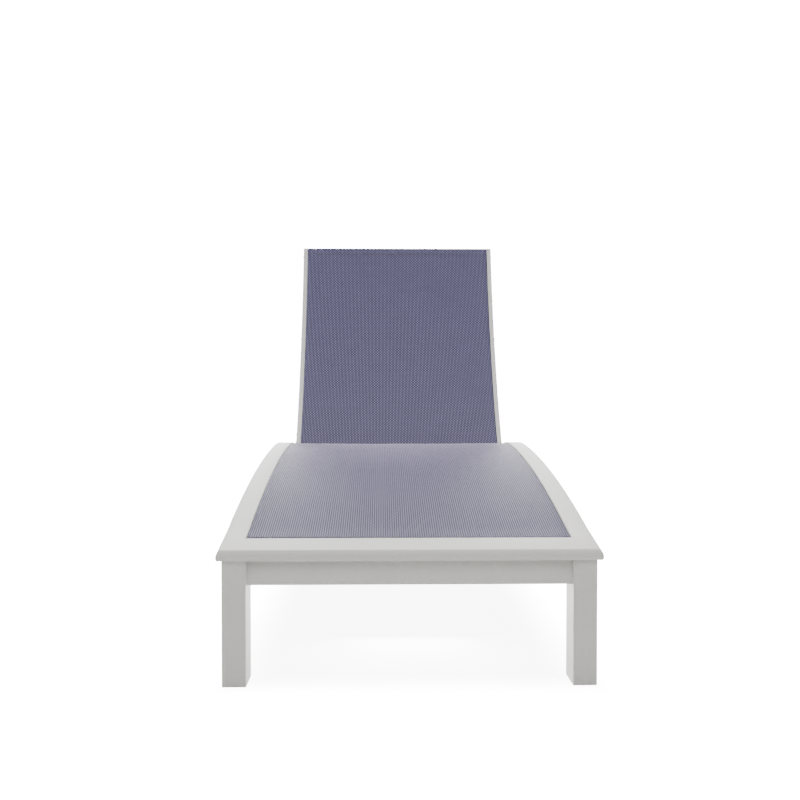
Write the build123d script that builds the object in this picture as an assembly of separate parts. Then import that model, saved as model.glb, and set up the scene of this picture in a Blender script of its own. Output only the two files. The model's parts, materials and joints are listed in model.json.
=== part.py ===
from build123d import *
import os
from math import atan2, copysign, cos, degrees, hypot, radians, sin

# Chaise lounge with a waved post-and-board frame, a fixed fabric seat and a folding fabric back.
# Lengths are millimetres. +Z is up, Y runs from the foot to the head, X across. The part stands
# on Z = 0 and its origin is the middle of its footprint. "left" is the side at negative X.

# Driving sizes of the frame
frame_width = 711
foot_height = 256
cap_depth = 70
cap_thickness = 20
cap_width = 45.7
cap_overhang = 8.5
nose_bulge = 2.3
nose_round = 3
board_round = 2
nose_setback = 16.5

# The top of the side boards, from the foot to the head: straight runs and arcs
foot_angle = 9.9
foot_run = 110
foot_bend_radius = 786
climb_angle = 12.5
climb_radius = 4440
shoulder_angle = 1.8
crest_radius = 900
fall_angle = -6.75
fall_run = 198
dip_radius = 1683
head_angle = 12.25
head_run = cap_depth + 2 * nose_bulge

# Legs, glides, aprons, beams and stretchers
leg_width = 45
leg_depth = 72
leg_trim_share = 0.1
head_ledge_drop = 10
apron_setback = 15
apron_thickness = 20
apron_height = 49.5
beam_depth = 89
stretcher_thickness = 20
stretcher_height = 50
stretcher_drop = 42
stretcher_shares = (0.30, 0.62, 0.955)
head_stretcher_gap = 46
glide_radius = 14
glide_thickness = 4
glide_stand = 1.5
glide_stem_radius = 4
glide_stem_length = 14

# Fabric, its beads and the seat rails that stretch it
fabric_thickness = 1.4
fabric_clearance = 0.3
fabric_recess = 3
side_clearance = 0.3
seat_rail_width = 28
seat_rail_height = 26
rail_wall = 2
bead_channel_width = 7
bead_channel_depth = 10
bead_slot = 2.4
bead_radius = 3
rail_cap_thickness = 2
rail_plug_length = 12
plug_clearance = 0.2
seat_gap = 11
seat_head_gap = 7
spreader_width = 26
spreader_height = 15
spreader_wall = 2
seat_spreader_shares = (0.035, 0.5, 0.965)
bracket_length = 40
bracket_thickness = 3
bracket_drop = 28
bracket_reach = 26
bracket_shares = (0.09, 0.36, 0.64, 0.91)

# The folding back and its hinge
hinge_after_crest = 31
hinge_drop = 41.5
back_side_gap = 3.8
back_length = 703
back_radius = 1683
back_angle = 51.4
back_fold_angle = 63
back_foot_reach = 12.2
back_foot_rise = 39.2
back_rail_width = 35
back_rail_height = 26
back_flange = 14
back_flange_round = 6
back_spreader_shares = (0.075, 0.56, 0.965)
knuckle_radius = 15
knuckle_width = 26
knuckle_heel = 6
knuckle_plug_length = 20
bush_radius = 9
hinge_bolt_radius = 6
hinge_head_radius = 11
hinge_head = 4
hinge_washer_radius = 12
hinge_nut_radius = 9.5
hinge_nut = 7
running_clearance = 0.06
pin_clearance = 0.05
washer_play = 0.3

# The prop: two arms and a bar that slides along notched racks inside the beams
prop_arm_length = 260
prop_arm_half_width = 12
prop_arm_thickness = 6
prop_play = 0.3
prop_spacer = 1.5
prop_pin_radius = 4
prop_pin_head_radius = 8
prop_pin_head = 3
prop_bracket_thickness = 4
prop_bracket_half_length = 28
prop_bracket_width = 16
prop_bracket_ear = 11
bar_radius = 8
bar_wall = 1.5
roller_radius = 9
roller_plug_length = 16
rack_angle = -6
rack_thickness = 12
rack_height = 15
rack_clearance = 0.4
rack_stop = 8
notch_depth = 4
notch_shares = (0.30, 0.56, 0.79)

# One overrun for every cut
overrun = 40

# Places that follow from the sizes above
half_frame = frame_width / 2
cap_inner = half_frame - cap_width
leg_outer = half_frame - cap_overhang
leg_inner = leg_outer - leg_width
seat_rail_outer = cap_inner - side_clearance
seat_rail_inner = seat_rail_outer - seat_rail_width
seat_rail_top = -fabric_recess - fabric_thickness - fabric_clearance
seat_rail_foot = seat_rail_top - seat_rail_height
back_outer = cap_inner - back_side_gap
back_inner = back_outer - back_rail_width
apron_front = nose_setback + apron_setback
end_shares = ((0, leg_trim_share), (1 - leg_trim_share, 1))


def walk(y, z, heading, length, radius):
    """The point and heading after a straight run, or after an arc that turns up or down."""
    if not radius:
        return y + length * cos(heading), z + length * sin(heading), heading
    turned = heading + length / radius
    return y + radius * (sin(turned) - sin(heading)), z - radius * (cos(turned) - cos(heading)), turned


class Outline:
    """A side outline in the Y-Z plane, made of straight runs and arcs, each tangent to the last."""

    def __init__(self, y, z, angle):
        self.spans = []
        self.length = 0
        self.end = (y, z, radians(angle))

    def add(self, length, radius):
        self.spans.append((self.length, *self.end, length, radius))
        self.length += length
        self.end = walk(*self.end, length, radius)
        return self

    def straight(self, length):
        return self.add(length, 0)

    def turn(self, radius, angle):
        change = radians(angle) - self.end[2]
        return self.add(radius * abs(change), copysign(radius, change))

    def at(self, distance, lift=0):
        """Y, Z and heading at a distance along the outline, lifted square to it."""
        inside = [span for span in self.spans if span[0] <= distance] or self.spans
        first, *start, length, radius = inside[-1]
        y, z, heading = walk(*start, distance - first, radius)
        return y - lift * sin(heading), z + lift * cos(heading), heading

    def section_plane(self, distance):
        """A plane square to the outline: its x is +X and its y is the lift."""
        y, z, heading = self.at(distance)
        return Plane((0, y, z), x_dir=(1, 0, 0), z_dir=(0, -cos(heading), -sin(heading)))

    def run(self, face, start, end):
        """Sweep a section face along the outline from one distance to another."""
        pieces = []
        for first, y, z, heading, length, radius in self.spans:
            low, high = max(start, first), min(end, first + length)
            if first == self.spans[0][0]:
                low = start
            if first == self.spans[-1][0]:
                high = end
            if high <= low:
                continue
            placed = self.section_plane(low) * face
            if radius:
                centre = (0, y - radius * sin(heading), z + radius * cos(heading))
                hub = Axis(centre, (copysign(1, radius), 0, 0))
                pieces.append(revolve(placed, axis=hub, revolution_arc=degrees((high - low) / abs(radius))))
            else:
                pieces.append(extrude(placed, amount=high - low, dir=(0, cos(heading), sin(heading))))
        return fused(pieces)


def fused(pieces):
    """One shape from several that touch or overlap."""
    whole = pieces[0]
    for piece in pieces[1:]:
        whole = whole + piece
    return whole


def polygon(*points):
    return make_face(Polyline(*points, close=True))


def rectangle(low_x, high_x, low_y, high_y):
    return polygon((low_x, low_y), (high_x, low_y), (high_x, high_y), (low_x, high_y))


def block(low, high):
    """A box from its lowest to its highest corner."""
    size = [top - bottom for bottom, top in zip(low, high)]
    return Pos(*low) * Box(*size, align=(Align.MIN, Align.MIN, Align.MIN))


def side_plane(x, y, z, heading=0):
    """A plane that faces +X: its x runs along the heading and its y is square to it, upwards."""
    return Plane((x, y, z), x_dir=(0, cos(heading), sin(heading)), z_dir=(1, 0, 0))


def rod(x_low, x_high, y, z, radius):
    """A round bar across the object."""
    return extrude(side_plane(x_low, y, z) * Circle(radius), amount=x_high - x_low)


def tube(x_low, x_high, y, z, outer, inner):
    ring = Circle(outer) - Circle(inner)
    return extrude(side_plane(x_low, y, z) * ring, amount=x_high - x_low)


def mirrored(shape):
    return mirror(shape, about=Plane.YZ)


def pair(shape):
    """A shape and its twin on the other side, as separate solids of one group."""
    return Compound([*shape.solids(), *mirrored(shape).solids()])


def group(shapes):
    return Compound([solid for shape in shapes for solid in shape.solids()])


frame_top = Outline(0, foot_height, foot_angle)
frame_top.straight(foot_run)
frame_top.turn(foot_bend_radius, climb_angle)
frame_top.turn(climb_radius, shoulder_angle)
frame_top.turn(crest_radius, fall_angle)
crest_end = frame_top.length
frame_top.straight(fall_run)
frame_top.turn(dip_radius, head_angle)
frame_top.straight(head_run)
frame_end, frame_end_z, frame_end_heading = frame_top.end

# The hinge pin lies below the side boards, just past the crest
hinge_distance = crest_end + hinge_after_crest
hinge_y, hinge_z, hinge_heading = frame_top.at(hinge_distance, -hinge_drop)


def from_hinge(distance, angle):
    """The point at a distance from the hinge pin in a direction."""
    return hinge_y + distance * cos(radians(angle)), hinge_z + distance * sin(radians(angle))


# The front surface of the raised back is one arc that starts beside the hinge pin
foot_y, foot_z = from_hinge(back_foot_reach, back_angle)
back_front = Outline(
    foot_y - back_foot_rise * sin(radians(back_angle)),
    foot_z + back_foot_rise * cos(radians(back_angle)),
    back_angle,
)
back_front.add(back_length, back_radius)

# The prop's pin is as far from the hinge as its bar, so the bar moves on a line through the hinge
prop_y, prop_z = from_hinge(prop_arm_length, rack_angle + back_fold_angle)
bar_rest = 2 * prop_arm_length * cos(radians(back_fold_angle))
bar_travel = 2 * prop_arm_length - bar_rest
bar_y, bar_z = from_hinge(bar_rest, rack_angle)
prop_heading = radians(rack_angle - back_fold_angle)


def board_section(inner, outer):
    """A board's section: flat top, underside and inner edge, and a gently bulged outer edge."""
    shoulder = outer - nose_bulge
    flat = Polyline((shoulder, 0), (inner, 0), (inner, -cap_thickness), (shoulder, -cap_thickness))
    nose = ThreePointArc((shoulder, -cap_thickness), (outer, -cap_thickness / 2), (shoulder, 0))
    face = make_face([*flat.edges(), *nose.edges()])
    face = fillet(face.vertices().sort_by(Axis.X)[-2:], nose_round)
    return fillet(face.vertices().sort_by(Axis.X)[:2], board_round)


def end_board(plane):
    """A cap board across one end, nosed along its front and both ends."""
    along = Plane((0, 0, 0), x_dir=(0, -1, 0), z_dir=(-1, 0, 0)) * board_section(-cap_depth, 0)
    right = board_section(0, half_frame) + rectangle(0, cap_inner, -cap_thickness, 0)
    across = Plane.XZ * (right + mirrored(right))
    board = extrude(along, amount=half_frame, both=True) & extrude(across, amount=-cap_depth)
    return plane * board


def make_caps():
    y, z, heading = frame_top.at(0)
    foot = Plane((0, y, z), x_dir=(1, 0, 0), z_dir=(0, -sin(heading), cos(heading)))
    head = Plane(
        (0, frame_end, frame_end_z),
        x_dir=(-1, 0, 0),
        z_dir=(0, -sin(frame_end_heading), cos(frame_end_heading)),
    )
    side = frame_top.run(board_section(cap_inner, half_frame), cap_depth, frame_top.length - cap_depth)
    return {
        "foot_cap": end_board(foot),
        "head_cap": end_board(head),
        "side_cap_left": mirrored(side),
        "side_cap_right": side,
    }


def above_boards(low_x, high_x, low_share, high_share, lift):
    """Everything above a lift from the frame's top, to trim what meets it from below."""
    face = rectangle(low_x - overrun, high_x + overrun, lift, lift + leg_depth + 2 * overrun)
    return frame_top.run(face, low_share * frame_top.length, high_share * frame_top.length)


def leg_spans():
    """Y of each leg's faces, foot pair first."""
    foot = (nose_setback, nose_setback + leg_depth)
    head = (frame_end - nose_setback - leg_depth, frame_end - nose_setback)
    return foot, head


def glide_solid(x, y):
    disc = Pos(x, y, 0) * Cylinder(glide_radius, glide_thickness, align=(Align.CENTER, Align.CENTER, Align.MIN))
    stem = Pos(x, y, glide_thickness) * Cylinder(
        glide_stem_radius, glide_stem_length, align=(Align.CENTER, Align.CENTER, Align.MIN)
    )
    return disc + stem


def make_legs():
    parts = {}
    glides = []
    foot, head = leg_spans()
    ends = (
        ("leg_foot", foot, end_shares[0], foot_height, seat_rail_foot - fabric_clearance,
         (cap_depth + seat_gap - rail_cap_thickness, foot[1] + overrun)),
        ("leg_head", head, end_shares[1], frame_end_z, seat_rail_foot - head_ledge_drop,
         (frame_top.length - head_run - leg_depth, frame_top.length - head_run + nose_bulge)),
    )
    for name, (front, rear), shares, top, rest, reach in ends:
        leg = block((leg_inner, front, glide_stand), (leg_outer, rear, top + overrun))
        leg = fillet(leg.edges().filter_by(Axis.Z), board_round)
        leg = leg - above_boards(leg_inner, leg_outer, *shares, -cap_thickness)
        leg = leg - frame_top.run(rectangle(leg_inner - overrun, cap_inner, rest, overrun), *reach)
        glide = glide_solid((leg_inner + leg_outer) / 2, (front + rear) / 2)
        leg = leg - glide
        glides.append(pair(glide))
        parts[name + "_left"] = mirrored(leg)
        parts[name + "_right"] = leg
    parts["glides"] = group(glides)
    return parts


def make_aprons():
    """Boards between the legs under the end caps."""
    foot_under = frame_top.at(0, -cap_thickness)[1]
    head_under = frame_top.at(frame_top.length - head_run, -cap_thickness)[1]
    parts = {}
    for name, y, under, shares in (
        ("foot_apron", apron_front, foot_under, end_shares[0]),
        ("head_apron", frame_end - apron_front - apron_thickness, head_under, end_shares[1]),
    ):
        board = block((-leg_inner, y, under - apron_height), (leg_inner, y + apron_thickness, under + overrun))
        trim = above_boards(-leg_inner, leg_inner, *shares, -cap_thickness)
        board = board - trim
        low = board.edges().filter_by(Axis.X).group_by(Axis.Z)[0]
        parts[name] = fillet(low, board_round)
    return parts


def stretcher_place(distance):
    """Y and underside of a stretcher whose top stays under the seat rails and the folded back."""
    y, z, heading = frame_top.at(distance, -stretcher_drop)
    drop = stretcher_thickness * abs(sin(heading))
    return y, z - drop - stretcher_height


def stretcher_places():
    places = [stretcher_place(share * crest_end) for share in stretcher_shares]
    ahead = from_hinge(2 * prop_arm_length + head_stretcher_gap, rack_angle)[0] - hinge_y
    return places + [stretcher_place(hinge_distance + ahead)]


def make_beams():
    foot, head = leg_spans()
    face = rectangle(cap_inner, leg_outer, -cap_thickness - beam_depth, -cap_thickness)
    face = fillet(face.vertices().sort_by(Axis.Y)[:2], board_round)
    beam = frame_top.run(face, nose_setback, frame_top.length - nose_setback)
    tall = foot_height + frame_end_z
    beam = beam - block((0, -overrun, 0), (frame_width, foot[1], tall))
    beam = beam - block((0, head[0], 0), (frame_width, frame_end + overrun, tall))
    hole = hinge_bolt_radius + pin_clearance
    beam = beam - rod(cap_inner - overrun, leg_outer + overrun, hinge_y, hinge_z, hole)
    parts = {"side_beam_left": mirrored(beam), "side_beam_right": beam}
    names = ("stretcher_foot", "stretcher_middle", "stretcher_hinge", "stretcher_head")
    half = stretcher_thickness / 2
    for name, (y, low) in zip(names, stretcher_places()):
        board = block((-cap_inner, y - half, low), (cap_inner, y + half, low + stretcher_height))
        parts[name] = fillet(board.edges().filter_by(Axis.X), board_round)
    return parts


def rail_section():
    """The seat rail's section on the right: a hollow box and an open channel for the fabric's bead."""
    wall = rail_wall
    outer, inner = seat_rail_outer, seat_rail_inner
    top, foot = seat_rail_top, seat_rail_foot
    box = outer - wall - bead_channel_width
    shelf = top - wall - bead_channel_depth
    face = polygon(
        (outer, top), (outer, shelf - wall), (box, shelf - wall), (box, foot), (inner, foot), (inner, top),
        (outer - wall - bead_slot, top), (outer - wall - bead_slot, top - wall), (box, top - wall),
        (box, shelf), (outer - wall, shelf), (outer - wall, top),
    )
    return face - rectangle(inner + wall, box - wall, foot + wall, top - wall)


def seat_span():
    """Where the seat rails start and end along the frame."""
    first = cap_depth + seat_gap
    back_corner = back_front.at(0)[0]
    last = hinge_distance - (frame_top.at(hinge_distance)[0] - back_corner) - seat_head_gap
    return first + rail_cap_thickness, last - rail_cap_thickness


def bead_section(outer, top):
    middle = outer - rail_wall - bead_channel_width / 2
    height = top - rail_wall - fabric_thickness - bead_radius
    return Pos(middle, height) * Circle(bead_radius)


def sling_section(outer, top, edge, tab_outer, tab_depth):
    """The fabric: a flat sheet with an edge that turns down into the rail's slot on each side."""
    under = top + fabric_clearance
    over = under + fabric_thickness
    tab_inner = tab_outer - fabric_thickness
    foot = top - tab_depth
    right = [(edge, over), (edge, under), (tab_outer, under), (tab_outer, foot), (tab_inner, foot),
             (tab_inner, under)]
    left = [(-x, y) for x, y in reversed(right)]
    return polygon(*right, *left)


def rail_cap_section(clearance=0):
    box = seat_rail_outer - rail_wall - bead_channel_width
    return rectangle(seat_rail_inner + clearance, box - clearance, seat_rail_foot + clearance,
                     seat_rail_top - clearance)


def seat_rail_caps(first, last):
    plug = rail_cap_section(rail_wall + plug_clearance)
    foot = frame_top.run(rail_cap_section(), first - rail_cap_thickness, first)
    foot = foot + frame_top.run(plug, first, first + rail_plug_length)
    head = frame_top.run(rail_cap_section(), last, last + rail_cap_thickness)
    head = head + frame_top.run(plug, last - rail_plug_length, last)
    return pair(group([foot, head]))


def spreader_section(width, height):
    """A flat tube with rounded corners."""
    wall = spreader_wall
    face = rectangle(-width / 2, width / 2, 0, height)
    face = fillet(face.vertices(), wall)
    return face - rectangle(-width / 2 + wall, width / 2 - wall, wall, height - wall)


def spreader(outline, distance, foot, reach):
    """A cross tube between two rails, with its underside at a lift from the outline."""
    y, z, heading = outline.at(distance, foot)
    face = side_plane(-reach, y, z, heading) * spreader_section(spreader_width, spreader_height)
    return extrude(face, amount=2 * reach)


def seat_brackets():
    """Angle brackets that carry the seat rails on the beams' inner faces."""
    foot = seat_rail_foot
    face = polygon(
        (cap_inner, foot), (cap_inner, foot - bracket_drop), (cap_inner - bracket_thickness, foot - bracket_drop),
        (cap_inner - bracket_thickness, foot - bracket_thickness),
        (cap_inner - bracket_reach, foot - bracket_thickness), (cap_inner - bracket_reach, foot),
    )
    first, last = seat_span()
    half = bracket_length / 2
    middles = [first + share * (last - first) for share in bracket_shares]
    return [frame_top.run(face, middle - half, middle + half) for middle in middles]


def make_seat():
    first, last = seat_span()
    rail = frame_top.run(rail_section(), first, last)
    parts = {}
    names = ("seat_spreader_foot", "seat_spreader_middle", "seat_spreader_head")
    for name, share in zip(names, seat_spreader_shares):
        distance = first + share * (last - first)
        parts[name] = spreader(frame_top, distance, seat_rail_foot, seat_rail_inner)
    bead = frame_top.run(bead_section(seat_rail_outer, seat_rail_top), first, last)
    tab_outer = seat_rail_outer - rail_wall - (bead_slot - fabric_thickness) / 2
    face = sling_section(seat_rail_outer, seat_rail_top, seat_rail_outer, tab_outer,
                         rail_wall + fabric_thickness - fabric_clearance)
    parts.update({
        "seat_rail_left": mirrored(rail),
        "seat_rail_right": rail,
        "seat_rail_caps": seat_rail_caps(first, last),
        "seat_beads": pair(bead),
        "seat_sling": frame_top.run(face, first - rail_cap_thickness, last + rail_cap_thickness),
        "seat_brackets": pair(group(seat_brackets())),
    })
    return parts


def back_rail_section():
    """The back rail's section on the right: a flange that shows, a bead channel and a hollow box."""
    wall = rail_wall
    seat = -fabric_thickness - fabric_clearance
    edge = back_outer - back_flange
    face = polygon(
        (back_outer, 0), (back_outer, -back_rail_height), (back_inner, -back_rail_height), (back_inner, seat),
        (edge - bead_slot, seat), (edge - bead_slot, seat - wall),
        (edge - bead_channel_width, seat - wall), (edge - bead_channel_width, seat - wall - bead_channel_depth),
        (edge, seat - wall - bead_channel_depth), (edge, 0),
    )
    corner = face.vertices().sort_by(Axis.X)[-2:].sort_by(Axis.Y)[-1]
    face = fillet([corner], back_flange_round)
    outer_box = rectangle(edge + wall, back_outer - wall, -back_rail_height + wall, -back_flange_round)
    return face - outer_box - back_box()


def back_box(clearance=0):
    """The hollow of the back rail that takes the knuckle's and the end cap's plugs."""
    edge = back_outer - back_flange
    foot = -back_rail_height + rail_wall
    return rectangle(back_inner + rail_wall + clearance, edge - bead_channel_width - rail_wall - clearance,
                     foot + clearance, -rail_wall - rail_wall - clearance)


def back_rail_cap():
    cap = rectangle(back_inner, back_outer, -back_rail_height, 0)
    corner = cap.vertices().sort_by(Axis.X)[-2:].sort_by(Axis.Y)[-1]
    cap = fillet([corner], back_flange_round)
    cap = cap - rectangle(back_inner - overrun, back_outer - back_flange, -fabric_thickness - fabric_clearance,
                          overrun)
    top = back_front.run(cap, back_length - rail_cap_thickness, back_length)
    plug = back_box(plug_clearance)
    return top + back_front.run(plug, back_length - rail_cap_thickness - rail_plug_length,
                                back_length - rail_cap_thickness)


def knuckle():
    """A cast foot that plugs into the back rail and turns on the hinge bolt."""
    heading = radians(back_angle)
    plane = side_plane(back_outer - knuckle_width, hinge_y, hinge_z, heading)
    high = back_foot_rise - fabric_thickness - fabric_clearance
    low = back_foot_rise - back_rail_height
    heel = rectangle(back_foot_reach - knuckle_heel, back_foot_reach, low, high)
    face = make_hull([*Circle(knuckle_radius).edges(), *heel.edges()])
    face = face - rectangle(back_foot_reach, back_foot_reach + overrun, low, high)
    body = extrude(plane * face, amount=knuckle_width)
    body = body + back_front.run(back_box(plug_clearance), 0, knuckle_plug_length)
    body = body - rod(back_inner - overrun, back_outer + overrun, hinge_y, hinge_z, bush_radius)
    bush = tube(back_outer - knuckle_width, back_outer, hinge_y, hinge_z, bush_radius,
                hinge_bolt_radius + running_clearance)
    return body, bush


def hinge_hardware():
    """The bolt with its domed head, the washer beside the beam and the lock nut."""
    nut_outer = back_outer - knuckle_width - washer_play
    head = rod(leg_outer, leg_outer + hinge_head, hinge_y, hinge_z, hinge_head_radius)
    head = fillet(head.edges().group_by(Axis.X)[-1], hinge_head / 2)
    bolt = head + rod(nut_outer - hinge_nut, leg_outer, hinge_y, hinge_z, hinge_bolt_radius)
    washer = tube(back_outer + washer_play, cap_inner, hinge_y, hinge_z, hinge_washer_radius,
                  hinge_bolt_radius)
    hexagon = RegularPolygon(hinge_nut_radius, 6) - Circle(hinge_bolt_radius)
    nut = extrude(side_plane(nut_outer - hinge_nut, hinge_y, hinge_z) * hexagon, amount=hinge_nut)
    return bolt, washer, nut


def on_back(y, z):
    """Distance along the back and lift from its front surface of a point behind it."""
    start_y, start_z, heading = back_front.at(0)
    centre_y = start_y - back_radius * sin(heading)
    centre_z = start_z + back_radius * cos(heading)
    turned = atan2(y - centre_y, centre_z - z)
    return (turned - heading) * back_radius, back_radius - hypot(y - centre_y, z - centre_z)


def prop_bracket():
    """A plate riveted inside the back rail, with an ear that carries the prop's pin."""
    distance, lift = on_back(prop_y, prop_z)
    y, z, heading = back_front.at(distance, -back_rail_height / 2)
    half = prop_bracket_width / 2
    plate = rectangle(-prop_bracket_half_length, prop_bracket_half_length, -half, half)
    ear = Pos(0, lift + back_rail_height / 2) * Circle(prop_bracket_ear)
    face = make_hull([*plate.edges(), *ear.edges()])
    plane = side_plane(back_inner - prop_bracket_thickness, y, z, heading)
    body = extrude(plane * face, amount=prop_bracket_thickness)
    return body - rod(0, back_outer, prop_y, prop_z, prop_pin_radius + pin_clearance)


def arm_span():
    """X of the prop arm's two faces."""
    outer = back_inner - prop_bracket_thickness - prop_spacer
    return outer - prop_arm_thickness, outer


def prop_pin():
    low, high = arm_span()
    face = low - prop_play
    head = rod(face - prop_pin_head, face, prop_y, prop_z, prop_pin_head_radius)
    shank = rod(face, back_inner, prop_y, prop_z, prop_pin_radius)
    collar = tube(high + prop_play, back_inner - prop_bracket_thickness, prop_y, prop_z,
                  prop_pin_head_radius, prop_pin_radius)
    return head + shank + collar


def prop_arm():
    low, high = arm_span()
    eye = Circle(prop_arm_half_width)
    face = make_hull([*eye.edges(), *(Pos(prop_arm_length, 0) * eye).edges()])
    face = face - Circle(prop_pin_radius + running_clearance) - Pos(prop_arm_length, 0) * Circle(bar_radius)
    return extrude(side_plane(low, prop_y, prop_z, prop_heading) * face, amount=high - low)


def prop_bar():
    """The bar across the arms, and the roller that rides on one rack."""
    end = cap_inner - rack_thickness - rack_clearance
    bar = tube(-end, end, bar_y, bar_z, bar_radius, bar_radius - bar_wall)
    roller = rod(end, cap_inner - side_clearance, bar_y, bar_z, roller_radius)
    roller = fillet(roller.edges().group_by(Axis.X)[-1], bar_wall)
    return bar, roller + rod(end - roller_plug_length, end, bar_y, bar_z, bar_radius - bar_wall)


def rack():
    """A notched rest on the beam's inner face, just under the roller's path."""
    crest = -roller_radius - rack_clearance
    reach = roller_radius + rack_clearance
    first, last = bar_rest - reach, bar_rest + bar_travel + reach
    stop = -rack_clearance
    foot = crest - rack_height
    face = polygon(
        (first - rack_stop, foot), (last + rack_stop, foot), (last + rack_stop, stop), (last, stop),
        (last, crest), (first, crest), (first, stop), (first - rack_stop, stop),
    )
    for share in notch_shares:
        middle = bar_rest + share * bar_travel
        face = face - Pos(middle, crest + roller_radius - notch_depth) * Circle(roller_radius)
    plane = side_plane(cap_inner - rack_thickness, hinge_y, hinge_z, radians(rack_angle))
    return extrude(plane * face, amount=rack_thickness)


def make_back():
    rail = back_front.run(back_rail_section(), 0, back_length - rail_cap_thickness)
    parts = {}
    names = ("back_spreader_foot", "back_spreader_middle", "back_spreader_top")
    for name, share in zip(names, back_spreader_shares):
        parts[name] = spreader(back_front, share * back_length, -back_rail_height, back_inner)
    edge = back_outer - back_flange
    seat = -fabric_thickness - fabric_clearance
    bead = back_front.run(bead_section(edge + rail_wall, seat), 0, back_length - rail_cap_thickness)
    tab_outer = edge - (bead_slot - fabric_thickness) / 2
    face = sling_section(edge, seat, edge - fabric_clearance, tab_outer,
                         rail_wall + fabric_thickness - fabric_clearance)
    cap = back_rail_cap()
    body, bush = knuckle()
    bracket = prop_bracket()
    parts.update({
        "back_rail_left": mirrored(rail),
        "back_rail_right": rail,
        "back_rail_caps": pair(cap),
        "back_beads": pair(bead),
        "back_sling": back_front.run(face, rail_cap_thickness, back_length - rail_cap_thickness),
        "back_knuckle_left": mirrored(body),
        "back_knuckle_right": body,
        "back_hinge_bushes": pair(bush),
        "prop_bracket_left": mirrored(bracket),
        "prop_bracket_right": bracket,
        "prop_pins": pair(prop_pin()),
    })
    return parts


def make_hinge():
    bolt, washer, nut = hinge_hardware()
    return {"hinge_bolts": pair(bolt), "hinge_washers": pair(washer), "hinge_nuts": pair(nut)}


def make_prop():
    arm = prop_arm()
    bar, roller = prop_bar()
    holder = rack()
    return {
        "prop_arm_left": mirrored(arm),
        "prop_arm_right": arm,
        "prop_bar": bar,
        "prop_rollers": pair(roller),
        "rack_left": mirrored(holder),
        "rack_right": holder,
    }


def middle_of_footprint(parts):
    boxes = [shape.bounding_box() for shape in parts.values()]
    return (min(box.min.Y for box in boxes) + max(box.max.Y for box in boxes)) / 2


def main():
    parts = {}
    for make in (make_caps, make_legs, make_aprons, make_beams, make_seat, make_hinge, make_back, make_prop):
        parts.update(make())
    middle = middle_of_footprint(parts)
    os.makedirs("parts", exist_ok=True)
    for name, shape in parts.items():
        export_step(Pos(0, -middle, 0) * shape, os.path.join("parts", name + ".step"))
    print("pieces", len(parts), "footprint middle", round(middle, 3))
    for name, (y, z) in {
        "hinge": (hinge_y, hinge_z), "prop pin": (prop_y, prop_z), "prop bar": (bar_y, bar_z),
    }.items():
        print(name, round(y - middle, 3), round(z, 3))


if __name__ == "__main__":
    main()
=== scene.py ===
import json
from math import atan2, ceil, copysign, cos, hypot, pi, radians, sin

import bmesh
import bpy
from bpy.props import FloatProperty, FloatVectorProperty, IntProperty, PointerProperty
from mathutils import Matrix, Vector


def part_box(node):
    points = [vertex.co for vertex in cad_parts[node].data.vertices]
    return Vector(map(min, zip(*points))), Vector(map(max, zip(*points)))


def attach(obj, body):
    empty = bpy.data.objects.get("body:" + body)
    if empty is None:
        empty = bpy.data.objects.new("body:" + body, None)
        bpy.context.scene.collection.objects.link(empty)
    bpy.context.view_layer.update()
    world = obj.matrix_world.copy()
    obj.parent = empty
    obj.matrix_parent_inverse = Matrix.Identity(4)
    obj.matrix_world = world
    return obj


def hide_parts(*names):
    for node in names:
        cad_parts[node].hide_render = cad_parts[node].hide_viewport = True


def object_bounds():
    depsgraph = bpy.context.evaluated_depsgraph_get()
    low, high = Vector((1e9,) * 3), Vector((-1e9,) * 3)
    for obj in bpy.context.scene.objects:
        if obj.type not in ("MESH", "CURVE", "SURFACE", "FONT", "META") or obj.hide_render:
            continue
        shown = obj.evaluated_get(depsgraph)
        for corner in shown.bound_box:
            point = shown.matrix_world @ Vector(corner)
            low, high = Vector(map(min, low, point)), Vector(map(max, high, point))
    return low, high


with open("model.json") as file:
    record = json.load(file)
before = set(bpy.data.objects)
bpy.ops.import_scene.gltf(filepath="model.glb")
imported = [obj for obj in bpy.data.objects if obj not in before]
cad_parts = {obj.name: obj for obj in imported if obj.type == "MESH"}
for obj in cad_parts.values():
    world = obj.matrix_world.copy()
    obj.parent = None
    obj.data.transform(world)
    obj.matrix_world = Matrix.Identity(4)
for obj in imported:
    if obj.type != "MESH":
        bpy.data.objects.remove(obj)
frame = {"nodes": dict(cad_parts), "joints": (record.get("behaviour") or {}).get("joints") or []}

bl_info = {
    "name": "Chaise lounge",
    "version": (1, 0, 0),
    "blender": (4, 5, 0),
    "location": "3D View > Sidebar > Lounge",
    "description": "Dresses the chaise lounge: boards, rails, woven fabric, fasteners and studio",
    "category": "Object",
}

CAD_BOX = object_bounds()
HALF_WIDTH, HALF_LENGTH = CAD_BOX[1][0], CAD_BOX[1][1]


def with_parts(stems, parts=("left", "right")):
    """The nodes that go by a stem and a part, such as rack_left."""
    return tuple(f"{stem}_{part}" for stem in stems for part in parts)


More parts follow.
